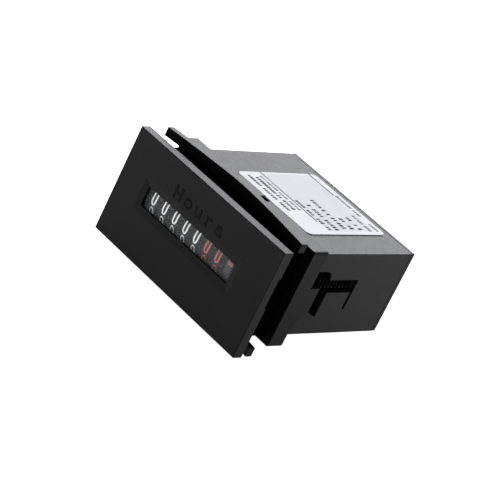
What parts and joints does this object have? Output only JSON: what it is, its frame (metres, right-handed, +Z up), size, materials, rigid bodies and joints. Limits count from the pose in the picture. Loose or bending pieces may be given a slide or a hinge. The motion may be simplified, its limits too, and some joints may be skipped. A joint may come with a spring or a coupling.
{
  "type": "panel counter",
  "caption": "Flush-mount electromechanical hour counter with a digit window, a ratchet clamp frame that holds it in a panel, push-on terminals behind and its number-wheel movement inside.",
  "frame": {"origin": "centre of the bounding box seen from above, at the height of the clamp arms' lower faces", "axes": "+Z up, -Y out of the front face, +Y towards the terminals, +X to the right as seen from the front"},
  "size_m": [0.053, 0.0604, 0.0304],
  "materials": {
    "black_abs": "fine matte",
    "black_clamp_plastic": "satin",
    "clear_pane": "clear gloss",
    "label_film": "satin silver-grey",
    "wheel_plastic": "satin with printed digits",
    "natural_nylon": "natural, unpainted",
    "bright_steel": "bright drawn",
    "tinned_brass": "tinned",
    "stator_iron": "annealed sheet",
    "magnet_ferrite": "sintered",
    "copper_wire": "enamelled copper",
    "board_laminate": "solder resist",
    "capacitor_resin": "dipped",
    "capacitor_sleeve": "shrink sleeve",
    "chip_epoxy": "moulded"
  },
  "bodies": {
    "case": {"housing": "black_abs", "rear_cover": "black_abs", "window_pane": "clear_pane", "rating_label": "label_film", "terminal_left": "tinned_brass", "terminal_right": "tinned_brass", "movement_frame": "black_abs", "wheel_shaft": "bright_steel", "pinion_shaft": "bright_steel", "reduction_pin": "bright_steel", "stator_plate": "stator_iron", "coil_core": "stator_iron", "coil_bobbin": "natural_nylon", "coil_winding": "copper_wire", "circuit_board": "board_laminate", "film_capacitor": "capacitor_resin", "electrolytic_capacitor": "capacitor_sleeve", "quartz_crystal": "bright_steel", "driver_chip": "chip_epoxy"},
    "clamp": {"clamp_frame": "black_clamp_plastic"},
    "number_wheel_1_body": {"number_wheel_1": "wheel_plastic"},
    "number_wheel_2_body": {"number_wheel_2": "wheel_plastic"},
    "number_wheel_3_body": {"number_wheel_3": "wheel_plastic"},
    "number_wheel_4_body": {"number_wheel_4": "wheel_plastic"},
    "number_wheel_5_body": {"number_wheel_5": "wheel_plastic"},
    "number_wheel_6_body": {"number_wheel_6": "wheel_plastic"},
    "number_wheel_7_body": {"number_wheel_7": "wheel_plastic"},
    "transfer_pinion_1_body": {"transfer_pinion_1": "natural_nylon"},
    "transfer_pinion_2_body": {"transfer_pinion_2": "natural_nylon"},
    "transfer_pinion_3_body": {"transfer_pinion_3": "natural_nylon"},
    "transfer_pinion_4_body": {"transfer_pinion_4": "natural_nylon"},
    "transfer_pinion_5_body": {"transfer_pinion_5": "natural_nylon"},
    "transfer_pinion_6_body": {"transfer_pinion_6": "natural_nylon"},
    "transfer_pinion_7_body": {"transfer_pinion_7": "natural_nylon"},
    "indicator_body": {"indicator_wheel": "wheel_plastic"},
    "drive_body": {"drive_gear": "natural_nylon"},
    "reduction_body": {"reduction_gear": "natural_nylon"},
    "rotor_body": {"rotor_arbor": "bright_steel", "rotor_magnet": "magnet_ferrite"}
  },
  "joints": [
    {"name": "clamp_slide", "type": "slide", "parent": "case", "child": "clamp", "axis": [0, 1, 0], "range_m": [-0.0026, 0.013]},
    {"name": "number_wheel_1_spin", "type": "hinge", "parent": "case", "child": "number_wheel_1_body", "pos_m": [-0.01495, -0.02075, 0.0162], "axis": [1, 0, 0], "continuous": true},
    {"name": "number_wheel_2_spin", "type": "hinge", "parent": "case", "child": "number_wheel_2_body", "pos_m": [-0.01097, -0.02075, 0.0162], "axis": [1, 0, 0], "continuous": true},
    {"name": "number_wheel_3_spin", "type": "hinge", "parent": "case", "child": "number_wheel_3_body", "pos_m": [-0.00699, -0.02075, 0.0162], "axis": [1, 0, 0], "continuous": true},
    {"name": "number_wheel_4_spin", "type": "hinge", "parent": "case", "child": "number_wheel_4_body", "pos_m": [-0.00301, -0.02075, 0.0162], "axis": [1, 0, 0], "continuous": true},
    {"name": "number_wheel_5_spin", "type": "hinge", "parent": "case", "child": "number_wheel_5_body", "pos_m": [0.00097, -0.02075, 0.0162], "axis": [1, 0, 0], "continuous": true},
    {"name": "number_wheel_6_spin", "type": "hinge", "parent": "case", "child": "number_wheel_6_body", "pos_m": [0.00495, -0.02075, 0.0162], "axis": [1, 0, 0], "continuous": true},
    {"name": "number_wheel_7_spin", "type": "hinge", "parent": "case", "child": "number_wheel_7_body", "pos_m": [0.00893, -0.02075, 0.0162], "axis": [1, 0, 0], "continuous": true},
    {"name": "transfer_pinion_1_spin", "type": "hinge", "parent": "case", "child": "transfer_pinion_1_body", "pos_m": [-0.01305, -0.01141, 0.0162], "axis": [1, 0, 0], "continuous": true},
    {"name": "transfer_pinion_2_spin", "type": "hinge", "parent": "case", "child": "transfer_pinion_2_body", "pos_m": [-0.00907, -0.01141, 0.0162], "axis": [1, 0, 0], "continuous": true},
    {"name": "transfer_pinion_3_spin", "type": "hinge", "parent": "case", "child": "transfer_pinion_3_body", "pos_m": [-0.00509, -0.01141, 0.0162], "axis": [1, 0, 0], "continuous": true},
    {"name": "transfer_pinion_4_spin", "type": "hinge", "parent": "case", "child": "transfer_pinion_4_body", "pos_m": [-0.00111, -0.01141, 0.0162], "axis": [1, 0, 0], "continuous": true},
    {"name": "transfer_pinion_5_spin", "type": "hinge", "parent": "case", "child": "transfer_pinion_5_body", "pos_m": [0.00287, -0.01141, 0.0162], "axis": [1, 0, 0], "continuous": true},
    {"name": "transfer_pinion_6_spin", "type": "hinge", "parent": "case", "child": "transfer_pinion_6_body", "pos_m": [0.00685, -0.01141, 0.0162], "axis": [1, 0, 0], "continuous": true},
    {"name": "transfer_pinion_7_spin", "type": "hinge", "parent": "case", "child": "transfer_pinion_7_body", "pos_m": [0.01083, -0.01141, 0.0162], "axis": [1, 0, 0], "continuous": true},
    {"name": "rotor_spin", "type": "hinge", "parent": "case", "child": "rotor_body", "pos_m": [0.0082, 0.00549, 0.0156], "axis": [1, 0, 0], "continuous": true},
    {"name": "reduction_spin", "type": "hinge", "parent": "case", "child": "reduction_body", "pos_m": [0.0168, -0.0026, 0.0162], "axis": [1, 0, 0], "continuous": true},
    {"name": "drive_spin", "type": "hinge", "parent": "case", "child": "drive_body", "pos_m": [0.0155, -0.01141, 0.0162], "axis": [1, 0, 0], "continuous": true},
    {"name": "indicator_spin", "type": "hinge", "parent": "case", "child": "indicator_body", "pos_m": [0.01291, -0.02075, 0.0162], "axis": [1, 0, 0], "continuous": true}
  ],
  "couplings": [
    {"joint": "transfer_pinion_1_spin", "follows": "number_wheel_1_spin", "ratio": -2.5},
    {"joint": "transfer_pinion_2_spin", "follows": "number_wheel_2_spin", "ratio": -2.5},
    {"joint": "transfer_pinion_3_spin", "follows": "number_wheel_3_spin", "ratio": -2.5},
    {"joint": "transfer_pinion_4_spin", "follows": "number_wheel_4_spin", "ratio": -2.5},
    {"joint": "transfer_pinion_5_spin", "follows": "number_wheel_5_spin", "ratio": -2.5},
    {"joint": "transfer_pinion_6_spin", "follows": "number_wheel_6_spin", "ratio": -2.5},
    {"joint": "transfer_pinion_7_spin", "follows": "number_wheel_7_spin", "ratio": -2.5},
    {"joint": "reduction_spin", "follows": "rotor_spin", "ratio": -0.27778},
    {"joint": "drive_spin", "follows": "rotor_spin", "ratio": 0.069444},
    {"joint": "indicator_spin", "follows": "rotor_spin", "ratio": -0.027778}
  ]
}
